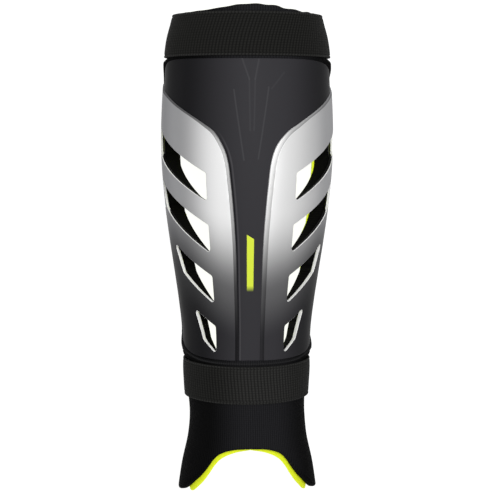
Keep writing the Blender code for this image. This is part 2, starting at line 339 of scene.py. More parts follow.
def wingGap(arc, along):
    # Distance to the wing's edge, positive on the wing. Below the yoke both edges stand to the left.
    lean = toArc(shell["lean"]) * (1 - ramp(along - half, *shell["leanTop"]))
    point = columns(np.abs(arc + lean), along)
    least = np.full(np.shape(arc), 1.0)
    for start, end in zip(wingLine, wingLine[1:]):
        least = np.minimum(least, segmentGap(point, start, end))
    edgeArc = np.interp(along, wingLine[::-1, 1], wingLine[::-1, 0])
    return np.where(point[..., 0] > edgeArc, least, -least)


def bevelWidth(arc):
    # Along the spine its own width on each side, narrower out along the yoke
    width = np.where(arc < 0, shell["bevelLeft"], shell["bevelRight"])
    loss, *turns = shell["bevelFade"]
    return width * (1 - loss * ramp(np.abs(toAngle(arc)), *turns))


def shellDepth(arc, along):
    # The recess, less its share up the step, less the rest up the bevel
    inward = wingGap(arc, along)
    step = np.clip(inward / shell["stepWidth"], 0, 1)
    slope = np.clip((inward - shell["stepWidth"]) / bevelWidth(arc), 0, 1)
    return shell["recess"] * (1 - shell["stepShare"] * step - (1 - shell["stepShare"]) * slope)


def paddingTopEdge(arc):
    # L - d (1 - exp(-((a - m) / turn)^2)), less the gathers
    fall = padding["lipDrop"] * (1 - bump(toAngle(arc), padding["lipMiddle"], padding["lipTurn"]))
    return leg["length"] - fall - lipWaves(arc)


def lipWaves(arc):
    # The gathers of the lip's top edge, deeper on the right: -d sin g
    wave, more = padding["waves"]
    return -(wave + more * ramp(toAngle(arc), *padding["wavesTurn"])) * np.sin(gathers(arc))


def gathers(arc):
    # Their phase in radians, unevenly spaced: 21 a + 40 sin 5 a, in degrees
    angle = toAngle(arc)
    return np.radians(angle * 21 + 40 * np.sin(np.radians(angle * 5)))


def paddingBottomEdge(arc):
    # The lining's show, more at the arch than at the tips, and the arch's height times the table's rise
    turn = np.clip(np.abs(toAngle(arc)) / leg["wrap"], 0, 1)
    less = padding["liningShow"] - padding["tipShow"]
    show = padding["liningShow"] - less * ramp(turn, *padding["showTurn"])
    return show + padding["arch"] * np.maximum(smooth(turn, ankleEdge[:, 0], ankleEdge[:, 1]), 0)


def paddingWall(along):
    # From the calf's down to the ankle's, over the lower half of the shell
    thin = ramp((shellTop + shellBottom) / 2 - along, 0, (shellTop - shellBottom) / 2)
    return padding["calfWall"] + (padding["ankleWall"] - padding["calfWall"]) * thin


def paddingDepth(arc, along):
    # Its even depth, less the puffs between the shell and the straps, the welt and the gathered lip
    angle = np.abs(toAngle(arc))
    outside = -shellOutline(arc, along)
    free = ramp(outside, *padding["puffStart"])
    above = along > (shellTop + shellBottom) / 2
    fromStrap = np.where(above, upperStrapLow - along, along - lowerStrapHigh)
    clearOfStrap = ramp(fromStrap, *padding["strapClear"])
    puff = padding["puff"] + padding["sidePuff"] * ramp(angle, *padding["sideTurn"])
    welt = padding["welt"] * bump(outside, padding["weltPlace"], padding["weltWidth"]) * ~above
    lip = ramp(along - upperStrapHigh, *padding["lipRise"])
    folds = padding["fold"] * (1 + np.sin(gathers(arc)))
    return padding["depth"] - free * clearOfStrap * puff - welt - lip * (padding["lipStand"] + folds)


def liningBottomEdge(arc):
    # The foam's edge less the show, s (least + sin pi t), which is held at 0, and shorter at the tips
    turn = np.abs(toAngle(arc)) / leg["wrap"]
    show = padding["liningShow"] * (lining["archShow"] + np.sin(np.pi * np.clip(turn, 0, 1)))
    return np.maximum(paddingBottomEdge(arc) - show, 0) + lining["tipBack"] * ramp(turn, *lining["tipTurn"])


# Flat meshes, cut along lines and bent round the leg

def flatGrid(wrap, low, high, cell):
    # Points (arc, along) about a cell apart, and two triangles a square, mirrored about the shin line
    across = 2 * math.ceil(toArc(wrap) / cell)
    up = math.ceil((high - low) / cell)
    arcs = np.linspace(-toArc(wrap), toArc(wrap), across + 1)
    alongs = np.linspace(low, high, up + 1)
    points = np.stack(np.meshgrid(arcs, alongs, indexing="ij"), axis=-1).reshape(-1, 2)
    number = np.arange(len(points)).reshape(across + 1, up + 1)
    a, b, c, d = (number[i:across + i, j:up + j].ravel() for i, j in ((0, 0), (1, 0), (1, 1), (0, 1)))
    right = points[a, 0] >= -cell / 2
    first = np.where(right[:, None], columns(a, b, c), columns(a, b, d))
    second = np.where(right[:, None], columns(a, c, d), columns(b, c, d))
    return points, np.concatenate([first, second])


def cutAlong(points, triangles, field, trim=False):
    # Puts a vertex at a + (b - a) fa / (fa - fb) on each edge where field changes sign. An end very near the
    # line moves on to it instead, and takes its crossings with it. With trim, the negative side goes.
    veryNear = 0.06
    value = field(points[:, 0], points[:, 1])
    inside = value > 0
    ends = triangles[:, [[0, 1], [1, 2], [2, 0]]]
    key = ends.min(axis=2) * len(points) + ends.max(axis=2)
    key, edge = np.unique(key, return_inverse=True)
    edge = edge.reshape(-1, 3)
    a, b = key // len(points), key % len(points)
    crossed = np.flatnonzero(inside[a] != inside[b])
    a, b = a[crossed], b[crossed]
    share = value[a] / (value[a] - value[b])
    place = points[a] + (points[b] - points[a]) * share[:, None]
    onEdge = np.full(len(key), -1)
    onEdge[crossed] = len(points) + np.arange(len(crossed))
    joined = np.concatenate([np.arange(len(points)), len(points) + np.arange(len(crossed))])
    points = np.concatenate([points, place])
    for near, end in ((share < veryNear, a), (share > 1 - veryNear, b)):
        points[end[near]] = place[near]
        near = np.isin(end, end[near])
        joined[onEdge[crossed[near]]] = end[near]
    count = inside[triangles].sum(axis=1)
    mixed = (count == 1) | (count == 2)
    cut, cutEdge = triangles[mixed], edge[mixed]
    lone = np.argmax(inside[cut] == (count[mixed] == 1)[:, None], axis=1)
    order = (lone[:, None] + np.arange(3)) % 3
    cut = np.take_along_axis(cut, order, axis=1)
    cutEdge = np.take_along_axis(cutEdge, order, axis=1)
    p, q = onEdge[cutEdge[:, 0]], onEdge[cutEdge[:, 2]]
    tips = columns(cut[:, 0], p, q)
    rests = np.concatenate([columns(p, cut[:, 1], cut[:, 2]), columns(p, cut[:, 2], q)])
    tipInside = inside[cut[:, 0]]
    if trim:
        whole, tips, rests = triangles[count == 3], tips[tipInside], rests[np.tile(~tipInside, 2)]
    else:
        whole = triangles[~mixed]
    triangles = joined[np.concatenate([whole, tips, rests])]
    threeEnded = (triangles != np.roll(triangles, 1, axis=1)).all(axis=1)
    used, triangles = np.unique(triangles[threeEnded], return_inverse=True)
    return points[used], triangles.reshape(-1, 3)


def rimEdges(triangles):
    # The directed edges that one triangle alone has
    ends = triangles[:, [[0, 1], [1, 2], [2, 0]]].reshape(-1, 2)
    size = triangles.max() + 1
    forward, backward = ends[:, 0] * size + ends[:, 1], ends[:, 1] * size + ends[:, 0]
    return ends[~np.isin(forward, backward)]


def outward(points, field):
    # The unit direction out of the piece, -grad f / |grad f|
    step = 0.0001
    slopes = [
        field(points[:, 0] + x, points[:, 1] + y) - field(points[:, 0] - x, points[:, 1] - y)
        for x, y in ((step, 0), (0, step))
    ]
    direction = -np.stack(slopes, axis=-1)
    return direction / np.maximum(np.linalg.norm(direction, axis=1), 1e-12)[:, None]


def thickLayer(name, points, triangles, field, top, bottom, lip, wallRows=1, lipRows=4):
    # A closed layer: its skins at the depths top and bottom, joined by rings. Those of its rounded lips are at
    # p + n l sin t and depth + l (1 - cos t). Returns where its walls begin in the polygons, too.
    rim = rimEdges(triangles)
    rimPoints, rim = np.unique(rim, return_inverse=True)
    rim = rim.reshape(-1, 2)
    flat = points[rimPoints]
    out = outward(flat, field)
    radius = lip(flat[:, 0], flat[:, 1])
    high, low = top(points[:, 0], points[:, 1]), bottom(points[:, 0], points[:, 1])
    rimHigh, rimLow = high[rimPoints], low[rimPoints]
    turns = np.linspace(0, np.pi / 2, lipRows + 1)[1:]
    steps = [(np.sin(t), rimHigh + radius * (1 - np.cos(t))) for t in turns]
    steps += [
        (1.0, rimHigh + radius + (rimLow - rimHigh - 2 * radius) * row / wallRows)
        for row in range(1, wallRows)
    ]
    steps += [(np.sin(t), rimLow - radius * (1 - np.cos(t))) for t in turns[::-1]]
    rings = [flat + out * (radius * reach)[:, None] for reach, depth in steps]
    flats = np.concatenate([points, points, *rings])
    depths = np.concatenate([high, low, *[depth for reach, depth in steps]])
    size, count = len(points), len(rimPoints)
    numbers = [rimPoints] + [2 * size + row * count + np.arange(count) for row in range(len(steps))]
    numbers.append(size + rimPoints)
    walls = [
        columns(above[rim[:, 1]], above[rim[:, 0]], below[rim[:, 0]], below[rim[:, 1]])
        for above, below in zip(numbers, numbers[1:])
    ]
    skins = np.concatenate([triangles, triangles[:, ::-1] + size])
    walls = np.concatenate(walls)
    piece = buildMesh(name, bend(flats[:, 0], flats[:, 1], depths), skins, walls, flats)
    return piece, flats, len(skins)


def buildMesh(name, places, triangles, quads, flats):
    mesh = bpy.data.meshes.new(name)
    corners = np.concatenate([triangles.ravel(), quads.ravel()]).astype(np.int32)
    sizes = np.concatenate([np.full(len(triangles), 3), np.full(len(quads), 4)])
    mesh.vertices.add(len(places))
    mesh.vertices.foreach_set("co", places.astype(np.float32).ravel())
    mesh.loops.add(len(corners))
    mesh.loops.foreach_set("vertex_index", corners)
    mesh.polygons.add(len(sizes))
    mesh.polygons.foreach_set("loop_start", np.append(0, np.cumsum(sizes)[:-1]).astype(np.int32))
    mesh.polygons.foreach_set("loop_total", sizes.astype(np.int32))
    mesh.update(calc_edges=True)
    layer = mesh.uv_layers.new(name="flat")
    layer.data.foreach_set("uv", flats[corners].astype(np.float32).ravel())
    mesh.shade_smooth()
    mesh.validate()
    return addObject(name, mesh)


def addObject(name, data):
    made = bpy.data.objects.new(name, data)
    bpy.context.scene.collection.objects.link(made)
    return made


def setAttribute(piece, name, values):
    attribute = piece.data.attributes.new(name, "FLOAT", "POINT")
    attribute.data.foreach_set("value", np.asarray(values, dtype=np.float32))


def fit(piece, node):
    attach(piece, "root")
    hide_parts(node)


# Shader nodes

grain = {"fine": 2200, "broad": 45, "spread": 0.06, "fuzz": 1500}


def connect(tree, node, inputs):
    # Each input, by name or number, is a fixed value or another node's output
    for name, value in inputs.items():
        if isinstance(value, bpy.types.NodeSocket):
            tree.links.new(value, node.inputs[name])
        else:
            node.inputs[name].default_value = value
    return node


def mathNode(tree, operation, *values, clamp=False):
    node = tree.nodes.new("ShaderNodeMath")
    node.operation, node.use_clamp = operation, clamp
    return connect(tree, node, dict(enumerate(values))).outputs[0]


def vectorNode(tree, operation, inputs):
    node = tree.nodes.new("ShaderNodeVectorMath")
    node.operation = operation
    return connect(tree, node, inputs)


def noiseNode(tree, vector, scale):
    return connect(tree, tree.nodes.new("ShaderNodeTexNoise"), {"Vector": vector, "Scale": scale}).outputs[0]


def splitNode(tree, vector):
    return connect(tree, tree.nodes.new("ShaderNodeSeparateXYZ"), {0: vector}).outputs


def flatMap(tree):
    node = tree.nodes.new("ShaderNodeUVMap")
    node.uv_map = "flat"
    return node.outputs[0]


def attributeOutput(tree, name):
    node = tree.nodes.new("ShaderNodeAttribute")
    node.attribute_name = name
    return node.outputs["Fac"]


def mixColour(tree, share, first, second):
    # Each colour is a tuple or an output. Inputs 6 and 7 are a colour mix's two, and output 2 its result.
    node = tree.nodes.new("ShaderNodeMix")
    node.data_type = "RGBA"
    first, second = ((*colour, 1) if isinstance(colour, tuple) else colour for colour in (first, second))
    return connect(tree, node, {"Factor": share, 6: first, 7: second}).outputs[2]


def newGroup(name, inputs, outputs):
    # Vector is a vector, the other inputs and the outputs single numbers
    group = bpy.data.node_groups.new(name, "ShaderNodeTree")
    for socket in inputs:
        kind = "NodeSocketVector" if socket == "Vector" else "NodeSocketFloat"
        group.interface.new_socket(socket, in_out="INPUT", socket_type=kind)
    for socket in outputs:
        group.interface.new_socket(socket, in_out="OUTPUT", socket_type="NodeSocketFloat")
    return group, group.nodes.new("NodeGroupInput").outputs, group.nodes.new("NodeGroupOutput").inputs


def weaveGroup():
    # |sin(pi u / rib)| (1 - depth + depth |sin(pi v / row)|) + fuzz (noise - 1/2), and held as the shade
    group, given, result = newGroup(
        "fabricWeave", ("Vector", "Rib", "Row", "Row depth", "Fuzz"), ("Height", "Shade"))
    split = splitNode(group, given["Vector"])
    waves = []
    for axis, pitch in (("X", "Rib"), ("Y", "Row")):
        turn = mathNode(group, "DIVIDE", split[axis], given[pitch])
        wave = mathNode(group, "SINE", mathNode(group, "MULTIPLY", turn, math.pi))
        waves.append(mathNode(group, "ABSOLUTE", wave))
    rows = mathNode(group, "MULTIPLY", waves[1], given["Row depth"])
    rows = mathNode(group, "ADD", rows, mathNode(group, "SUBTRACT", 1.0, given["Row depth"]))
    fuzz = mathNode(group, "SUBTRACT", noiseNode(group, given["Vector"], grain["fuzz"]), 0.5)
    fuzz = mathNode(group, "MULTIPLY", fuzz, given["Fuzz"])
    height = mathNode(group, "ADD", mathNode(group, "MULTIPLY", waves[0], rows), fuzz)
    group.links.new(height, result["Height"])
    group.links.new(mathNode(group, "MINIMUM", height, 1.0, clamp=True), result["Shade"])
    return group


def grainGroup():
    # Fine noise for the height. A broad one shifts the roughness: r + spread (noise - 1/2).
    group, given, result = newGroup("mouldedGrain", ("Vector", "Roughness"), ("Height", "Roughness"))
    group.links.new(noiseNode(group, given["Vector"], grain["fine"]), result["Height"])
    shift = mathNode(group, "SUBTRACT", noiseNode(group, given["Vector"], grain["broad"]), 0.5)
    shift = mathNode(group, "MULTIPLY", shift, grain["spread"])
    group.links.new(mathNode(group, "ADD", given["Roughness"], shift), result["Roughness"])
    return group


fabricWeave = weaveGroup()
mouldedGrain = grainGroup()


def placeGroup(tree, group, inputs):
    node = tree.nodes.new("ShaderNodeGroup")
    node.node_tree = group
    return connect(tree, node, {"Vector": flatMap(tree), **inputs}).outputs


def newMaterial(name, look):
    # The look's colour and roughness, and its specular and glow where it has them
    material = bpy.data.materials.new(name)
    material.use_nodes = True
    tree, shader = material.node_tree, material.node_tree.nodes["Principled BSDF"]
    connect(tree, shader, {"Base Color": (*look["colour"], 1), "Roughness": look["roughness"]})
    if "specular" in look:
        connect(tree, shader, {"Specular IOR Level": look["specular"]})
    if "glow" in look:
        glow = {"Emission Color": (*look["glow"], 1), "Emission Strength": look["glowStrength"]}
        connect(tree, shader, glow)
    return material, tree, shader


def addBump(tree, shader, height, strength, distance):
    node = tree.nodes.new("ShaderNodeBump")
    connect(tree, node, {"Strength": strength, "Distance": distance, "Height": height})
    connect(tree, shader, {"Normal": node.outputs[0]})


def fabric(tree, shader, look):
    # The look's weave as bump
    pitches = {"Rib": look["rib"], "Row": look["row"], "Row depth": look["rowDepth"], "Fuzz": look["fuzz"]}
    weave = placeGroup(tree, fabricWeave, pitches)
    addBump(tree, shader, weave["Height"], *look["bump"])
    return weave["Shade"]


def threads(tree, shader, look, colour):
    # The weave in painted light: its threads' tops lighter and painted shade in the gaps between them: colour
    # (1 + c (shade - 1/2))
    shade = mathNode(tree, "MULTIPLY", fabric(tree, shader, look), look["contrast"])
    factor = mathNode(tree, "ADD", shade, 1 - look["contrast"] / 2)
    connect(tree, shader, {"Base Color": vectorNode(tree, "SCALE", {0: colour, "Scale": factor}).outputs[0]})


def moulded(tree, shader, look):
    moulding = placeGroup(tree, mouldedGrain, {"Roughness": look["roughness"]})
    connect(tree, shader, {"Roughness": moulding["Roughness"]})
    addBump(tree, shader, moulding["Height"], *paint["bump"])


# Shell

paint = {
    # Dark shade: the dark in painted shade, towards the leg's sides
    "colour": (0.0420, 0.0408, 0.0455), "darkShade": (0.0068, 0.0068, 0.0075),
    # Silver shade: the silver in painted shade, at the sides
    "silver": (0.94, 0.94, 0.94), "silverShade": (0.225, 0.225, 0.235),
    "crease": (0.060, 0.059, 0.064), "creaseWidth": 0.0010, "metallic": 0.35,
    # The painted shade of the bevel, as the brightness it loses: on the left, and at its foot and more at the
    # wing on the right
    "bevelLeft": 0.65, "bevelRight": (0.22, 0.38), "bevelEnd": (1.05, 12.0),
    # Middle and width, as shares of the bevel's, of the painted shadow line at the left wing's foot and of the
    # painted highlight line beside that, and the degrees from the shin line between which they end
    "grooveAndShadowLine": (-0.32, 0.34), "stepHighlight": (-1.0, 0.34), "stepShadowColour": (0.005, 0.005, 0.006),
    "stepHighlightColour": (0.078, 0.076, 0.082), "paintedLinesEnd": (13, 24),
    "neon": (0.75, 0.88, 0.07), "roughness": 0.45, "specular": 0.02, "bump": (0.10, 0.0001),
    "middle": 3.0, "darkMiddle": 7.0,  # degrees from the shin line to where silver and dark are brightest
    # Each is the first ramp's share, its ends, and the second one's ends. Fade: the silver up the shell, by the
    # share of its length. Silver shading and shading: the painted reflection and shade of the silver, and the
    # painted shade of the dark, round the leg, in degrees from where each is brightest.
    "fade": (0.12, 0.063, 0.28, 0.232, 0.495),
    "fadeRise": 0.018, "fadeTurn": (12, 65),  # it stands higher at the sides, from these degrees on
    "silverShading": (0.82, 22, 59, 55, 85),
    "shading": (0.85, 10, 58, 60, 88),
}
core = {"colour": (0.92, 0.92, 0.91), "roughness": 0.5}
# The faint ridges of the yoke, each from one end to the other. Turn: degrees. Rise: metres above the middle.
creases = [
    # turn, rise, turn, rise, strength
    (-6.75, 0.1515, -1.9, 0.136, 1.0),
    (-1.9, 0.136, -1.3, 0.098, 0.6),
    (4.5, 0.1505, 2.0, 0.136, 1.0),
    (2.0, 0.136, 1.2, 0.098, 0.6),
    (-12.0, 0.128, -5.25, 0.076, 1.0),
    (11.0, 0.130, 4.0, 0.077, 1.0),
    (22.0, 0.141, 13.0, 0.129, 0.5),
]
# Left and right: degrees. The rest: metres, from the middle.
neonBar = {
    "left": -3.5, "right": 1.8, "top": 0.0200, "slant": 0.0035, "bottom": -0.0195, "fade": 0.0045,
    "soft": 0.00025,
}


def shellMarks(piece, flats):
    # What the paint goes by, at each vertex
    arc, along = flats.T
    angle = np.abs(toAngle(arc))
    inward = wingGap(arc, along)
    low, high = paint["fadeTurn"]
    late = along - paint["fadeRise"] * np.clip((angle - low) / (high - low), 0, 1)
    share = (late - shellBottom) / (shellTop - shellBottom)
    setAttribute(piece, "across", inward / (shell["stepWidth"] + bevelWidth(arc)))
    setAttribute(piece, "left", arc < 0)
    # Where the painted shadow and highlight lines beside the left wing's foot lie
    setAttribute(piece, "grooveAndShadowLine", (arc < 0) * (1 - ramp(angle, *paint["paintedLinesEnd"])))
    setAttribute(piece, "silver", twoRamps(share, *paint["fade"]))
    # Painted shade of the dark, deeper away from its brightest place round the leg
    setAttribute(piece, "side", twoRamps(np.abs(toAngle(arc) - paint["darkMiddle"]), *paint["shading"]))
    # The silver's painted reflection about its middle, and its painted shade towards the sides
    setAttribute(piece, "silverShade", twoRamps(np.abs(toAngle(arc) - paint["middle"]), *paint["silverShading"]))


def shellField(arc, along):
    # Distance inside the shell's edges and vents, less the lip
    return np.minimum(shellOutline(arc, along), ventGap(arc, along, vent["round"])) - shell["lip"]


def makeShell():
    points, triangles = flatGrid(shell["wrap"], shellBottom, shellTop, shell["cell"])
    for offset in (0.0, shell["stepWidth"]):
        points, triangles = cutAlong(points, triangles, lambda arc, along: wingGap(arc, along) - offset)
    points, triangles = cutAlong(
        points, triangles, lambda arc, along: wingGap(arc, along) - shell["stepWidth"] - bevelWidth(arc))
    points, triangles = cutAlong(points, triangles, shellField, trim=True)
    wallRows, lipRows = 4, 3
    piece, flats, skins = thickLayer(
        "shinShell", points, triangles, shellField, shellDepth,
        lambda arc, along: shell["thickness"] + flangeDepth(arc, along),
        lambda arc, along: np.full(len(arc), shell["lip"]), wallRows=wallRows, lipRows=lipRows,
    )
    shellMarks(piece, flats)
    for material in (paintMaterial("yokePaint", False), paintMaterial("wingPaint", True), coreMaterial()):
        piece.data.materials.append(material)
    # Wings and yoke meet along the wing's edge. The lower vents' walls and the upper ones' outer ends show
    # the bare white plastic. The rest of the upper vents' walls is white at the rim and dark behind it.
    middle = faceMiddles(piece)
    slots = (wingGap(middle[:, 0], middle[:, 1]) > 0).astype(np.int32)
    arc, along = middle[skins:].T
    row = np.arange(len(arc)) // (len(arc) // (wallRows + 2 * lipRows))
    inVent = ventGap(arc, along, vent["round"]) < vent["wall"]
    shown = lipRows + wallRows * (1 - ramp(outerEnds(arc, along).min(axis=0), *vent["whiteEnd"]))
    slots[skins:][inVent & (row >= 1)] = 2
    slots[skins:][inVent & (along > shellBottom + vent["upperOnes"]) & (row >= shown)] = 0
    piece.data.polygons.foreach_set("material_index", slots)
    piece.data.set_sharp_from_angle(angle=math.radians(shell["sharpAngle"]))
    fit(piece, "shell")


def faceMiddles(piece):
    # Each polygon's mean corner in the flat
    uv = np.zeros(len(piece.data.loops) * 2, np.float32)
    piece.data.uv_layers["flat"].data.foreach_get("uv", uv)
    starts = np.zeros(len(piece.data.polygons), np.int32)
    totals = np.zeros(len(piece.data.polygons), np.int32)
    piece.data.polygons.foreach_get("loop_start", starts)
    piece.data.polygons.foreach_get("loop_total", totals)
    return np.add.reduceat(uv.reshape(-1, 2).astype(float), starts, axis=0) / totals[:, None]


def paintMaterial(name, silvered):
    material, tree, shader = newMaterial(name, paint)
    # The dark, with painted shade towards the sides
    colour = mixColour(tree, attributeOutput(tree, "side"), paint["colour"], paint["darkShade"])
    if silvered:
        # The silver, lit by a painted reflection about its middle and in painted shade to the sides
        bright = mixColour(tree, attributeOutput(tree, "silverShade"), paint["silver"], paint["silverShade"])
        amount = attributeOutput(tree, "silver")
        colour = mixColour(tree, amount, colour, bright)
        # The bevel's painted shade
        colour = vectorNode(tree, "SCALE", {0: colour, "Scale": bevelShade(tree)}).outputs[0]
        connect(tree, shader, {"Metallic": mathNode(tree, "MULTIPLY", amount, paint["metallic"])})
    else:
        colour = mixColour(tree, creaseMask(tree), colour, paint["crease"])
        # The painted highlight line and the painted shadow line beside the left wing's foot
        colour = mixColour(tree, paintedLightLineMask(tree, *paint["stepHighlight"]), colour, paint["stepHighlightColour"])
        colour = mixColour(tree, paintedLightLineMask(tree, *paint["grooveAndShadowLine"]), colour, paint["stepShadowColour"])
        colour = mixColour(tree, barMask(tree), colour, paint["neon"])
    connect(tree, shader, {"Base Color": colour})
    moulded(tree, shader, paint)
    return material


def bevelShade(tree):
    # Painted shade: 1 on the wing, 1 - l on the bevel: l is the left's own loss, or f + m a on the right, a the
    # share across
    across, left = attributeOutput(tree, "across"), attributeOutput(tree, "left")
    end, steepness = paint["bevelEnd"]
    onBevel = mathNode(tree, "MULTIPLY", mathNode(tree, "SUBTRACT", end, across), steepness, clamp=True)
    foot, more = paint["bevelRight"]
    loss = mathNode(tree, "ADD", mathNode(tree, "MULTIPLY", across, more), foot)
    change = mathNode(tree, "SUBTRACT", paint["bevelLeft"], loss)
    loss = mathNode(tree, "ADD", loss, mathNode(tree, "MULTIPLY", left, change))
    return mathNode(tree, "SUBTRACT", 1.0, mathNode(tree, "MULTIPLY", onBevel, loss))


def paintedLightLineMask(tree, middle, width):
    # A painted line of shadow, and one of highlight, beside the left wing's foot, on the spine: 1 - |a -
    # middle| / width
    away = mathNode(tree, "ABSOLUTE", mathNode(tree, "SUBTRACT", attributeOutput(tree, "across"), middle))
    near = mathNode(tree, "SUBTRACT", 1.0, mathNode(tree, "DIVIDE", away, width), clamp=True)
    return mathNode(tree, "MULTIPLY", near, attributeOutput(tree, "grooveAndShadowLine"))


def lineMask(tree, start, end):
    # How near a point is to a line from start to end: 1 - |p - a - (b - a) t| / width, t held between 0 and 1
    side = end - start
    offset = vectorNode(tree, "SUBTRACT", {0: flatMap(tree), 1: start}).outputs[0]
    reach = vectorNode(tree, "DOT_PRODUCT", {0: offset, 1: side}).outputs["Value"]
    share = mathNode(tree, "DIVIDE", reach, side.dot(side), clamp=True)
    foot = vectorNode(tree, "SCALE", {0: side, "Scale": share}).outputs[0]
    away = vectorNode(tree, "DISTANCE", {0: offset, 1: foot}).outputs["Value"]
    away = mathNode(tree, "DIVIDE", away, paint["creaseWidth"])
    return mathNode(tree, "SUBTRACT", 1.0, away, clamp=True)


def creaseMask(tree):
    # The sum of each ridge's strength times how near it is, held under 1
    total = 0.0
    for turnA, riseA, turnB, riseB, strength in creases:
        ends = (Vector((toArc(turn), half + rise, 0)) for turn, rise in ((turnA, riseA), (turnB, riseB)))
        part = mathNode(tree, "MULTIPLY", lineMask(tree, *ends), strength)
        total = mathNode(tree, "ADD", part, total, clamp=True)
    return total


def barMask(tree):
    # Between its two sides, under its slanting top and above its fading bottom
    split = splitNode(tree, flatMap(tree))
    u, v = split["X"], split["Y"]
    left, right = float(toArc(neonBar["left"])), float(toArc(neonBar["right"]))
    slanted = mathNode(tree, "SUBTRACT", u, left)
    slanted = mathNode(tree, "MULTIPLY", slanted, neonBar["slant"] / (right - left))
    topLine = mathNode(tree, "SUBTRACT", half + neonBar["top"], slanted)
    low = half + neonBar["bottom"] - neonBar["fade"]
    soft, share = neonBar["soft"], 1.0
    sides = ((u, left, soft), (right, u, soft), (topLine, v, soft), (v, low, neonBar["fade"]))
    for more, less, width in sides:
        inside = mathNode(tree, "DIVIDE", mathNode(tree, "SUBTRACT", more, less), width, clamp=True)
        share = mathNode(tree, "MULTIPLY", share, inside)
    return share


def coreMaterial():
    material, tree, shader = newMaterial("shellCore", core)
    moulded(tree, shader, core)
    return material


# Padding and lining

foam = {
    # Painted shade: lighter about the middle, darker towards the sides
    "colour": (0.0150, 0.0150, 0.0165), "shadedSideColour": (0.0036, 0.0036, 0.0037),
    "weltColour": (0.021, 0.021, 0.022),
    "middle": 10.0,  # degrees from the shin line to where it is lightest
    "shading": (12, 55),  # degrees from there between which it darkens
    "roughness": 0.85, "specular": 0.02, "contrast": 0.8,
    "rib": 0.0025, "row": 0.0016, "rowDepth": 0.4, "fuzz": 0.5, "bump": (0.45, 0.0004),
}
liningCloth = {
    "colour": (0.80, 0.93, 0.02), "roughness": 0.8,
    "glow": (0.5, 0.55, 0.0), "glowStrength": 0.4,  # a painted glow that lights it like a lamp, partly the dye's own fluorescence
    "rib": 0.0016, "row": 0.0016, "rowDepth": 0.8, "fuzz": 0.3, "bump": (0.4, 0.0003),
}


def softField(arc, along, wrap, bottomEdge, edgeRound, ventRound):
    # Distance inside a soft layer's outline and its vents, each less its own rounding
    radius = padding["cornerRound"]
    edge = outlineGap(arc, along, wrap, paddingTopEdge, bottomEdge, radius, radius)
    return np.minimum(edge - edgeRound, ventGap(arc, along, vent["round"], foamCorners) - ventRound)


def makePadding():
    def field(arc, along):
        rounds = padding["edgeRound"], padding["ventRound"]
        return softField(arc, along, leg["wrap"], paddingBottomEdge, *rounds)

    def lip(arc, along):
        nearVent = ventGap(arc, along, vent["round"], foamCorners) < 2 * padding["ventRound"]
        return np.where(nearVent, padding["ventRound"], padding["edgeRound"])

    points, triangles = flatGrid(leg["wrap"], 0.0, leg["length"], padding["cell"])
    for away in (-1.0, 0.0, 1.0):
        place = padding["weltPlace"] + away * padding["weltWidth"]
        points, triangles = cutAlong(points, triangles, lambda arc, along: shellOutline(arc, along) + place)
    points, triangles = cutAlong(points, triangles, field, trim=True)
    piece, flats, _ = thickLayer(
        "foamPadding", points, triangles, field, paddingDepth,
        lambda arc, along: padding["depth"] + paddingWall(along), lip, wallRows=3, lipRows=5,
    )
    arc, along = flats.T
    below = along < (shellTop + shellBottom) / 2
    # Painted shade towards the sides
    setAttribute(piece, "side", ramp(np.abs(toAngle(arc) - foam["middle"]), *foam["shading"]))
    welt = bump(-shellOutline(arc, along), padding["weltPlace"], padding["weltWidth"])
    setAttribute(piece, "welt", welt * below)
    material, tree, shader = newMaterial("foamCloth", foam)
    colour = mixColour(tree, attributeOutput(tree, "side"), foam["colour"], foam["shadedSideColour"])
    colour = mixColour(tree, attributeOutput(tree, "welt"), colour, foam["weltColour"])
    threads(tree, shader, foam, colour)
    piece.data.materials.append(material)
    fit(piece, "padding")


def makeLining():
    def top(arc, along):
        return padding["depth"] + paddingWall(along) + lining["gap"]

    def bottom(arc, along):
        thin, back = lining["ventThickness"], lining["ventBack"]
        away = ramp(ventGap(arc, along, vent["round"], foamCorners), back, 3 * back)
        return top(arc, along) + thin + (lining["thickness"] - thin) * away

    def field(arc, along):
        lower = 1 - ramp(along - shellBottom - vent["upperOnes"], *lining["backEnd"])
        hidden = np.maximum(ramp(-arc, 0, toArc(vent["innerAngle"])), lower)
        back = lining["ventThickness"] / 2 + lining["ventBack"] + lining["moreBack"] * hidden
        return softField(arc, along, lining["wrap"], liningBottomEdge, lining["edgeRound"], back)

    points, triangles = flatGrid(leg["wrap"], 0.0, leg["length"], lining["cell"])
    points, triangles = cutAlong(points, triangles, field, trim=True)
    piece, *_ = thickLayer(
        "neonLining", points, triangles, field, top, bottom,
        lambda arc, along: np.minimum(lining["edgeRound"], (bottom(arc, along) - top(arc, along)) / 2),
    )
    material, tree, shader = newMaterial("liningMesh", liningCloth)
    fabric(tree, shader, liningCloth)
    piece.data.materials.append(material)
    fit(piece, "lining")


# Straps

selvedge = {
    "places": np.array([0.0008, 0.0012, 0.0016, 0.0020, 0.0024, 0.0029]),
    "grooveAndShadowLine": 0.0004, "groovePlace": 0.0020, "grooveWidth": 0.0005, "end": (0.0010, 0.0018),
}
webbing = {
    "colour": (0.0130, 0.0130, 0.0120), "edge": (0.022, 0.022, 0.021), "lit": (0.0225, 0.0225, 0.0215),
    "litPlace": 0.010, "litEnd": (0.010, 0.040),  # X of the lightest part of the painted highlight, and the distances where it ends
    "roughness": 0.75, "specular": 0.04, "contrast": 1.1,
    "rib": 0.0026, "row": 0.0019, "rowDepth": 0.6, "fuzz": 0.35, "bump": (0.6, 0.0003),
}


